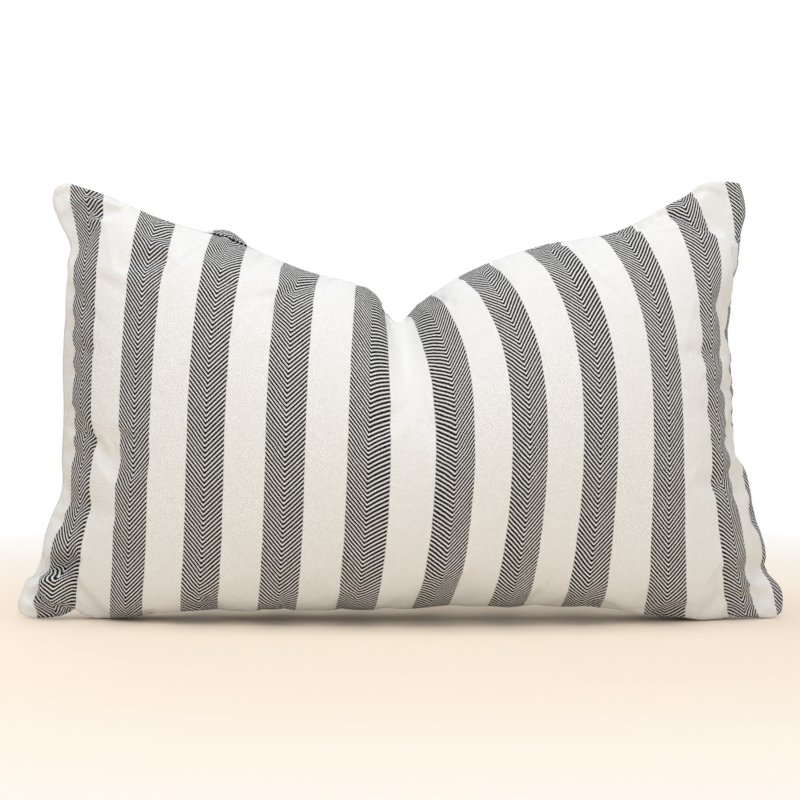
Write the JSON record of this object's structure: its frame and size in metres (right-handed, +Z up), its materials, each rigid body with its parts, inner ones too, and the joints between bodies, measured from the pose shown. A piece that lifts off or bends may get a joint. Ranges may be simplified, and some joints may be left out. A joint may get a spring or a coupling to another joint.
{
  "type": "throw pillow",
  "caption": "Rectangular lumbar throw pillow with a striped herringbone cover, knife-edge seams and a pressed dent in its top edge.",
  "frame": {"origin": "centre of the footprint on the floor, bottom centre of the bounding box, with the pillow standing on its long edge", "axes": "+X along the width to the right seen from the front, the front panel looks along -Y, +Z up"},
  "size_m": [0.498, 0.1554, 0.285],
  "materials": {
    "cover_fabric": "off-white cotton twill with broad near-black herringbone stripes",
    "sewing_thread": "off-white spun sewing thread",
    "zipper_tape": "off-white woven tape",
    "zipper_coil": "off-white nylon coil",
    "zipper_metal": "off-white enamelled metal",
    "ticking": "plain white cotton ticking",
    "filling": "loose soft filling",
    "label_fabric": "blank woven label"
  },
  "bodies": {
    "pillow": {"cover_front_panel": "cover_fabric", "cover_back_panel": "cover_fabric", "seam_thread_left": "sewing_thread", "seam_thread_top": "sewing_thread", "seam_thread_right": "sewing_thread", "zipper_tape_front": "zipper_tape", "zipper_tape_back": "zipper_tape", "zipper_coil_front": "zipper_coil", "zipper_coil_back": "zipper_coil", "zipper_stitch_front": "sewing_thread", "zipper_stitch_back": "sewing_thread", "zipper_bottom_stop": "zipper_metal", "zipper_top_stop_front": "zipper_metal", "zipper_top_stop_back": "zipper_metal", "insert_front_panel": "ticking", "insert_back_panel": "ticking", "filling": "filling", "care_label": "label_fabric"},
    "slider": {"zipper_slider": "zipper_metal"},
    "pull": {"zipper_pull": "zipper_metal"}
  },
  "joints": [
    {"name": "zipper_slide", "type": "slide", "parent": "pillow", "child": "slider", "axis": [-1, 0, 0], "range_m": [0, 0.349]},
    {"name": "pull_hinge", "type": "hinge", "parent": "slider", "child": "pull", "pos_m": [0.175, 0, 0.0129], "axis": [0, 1, 0], "range_deg": [-85, 85]}
  ]
}
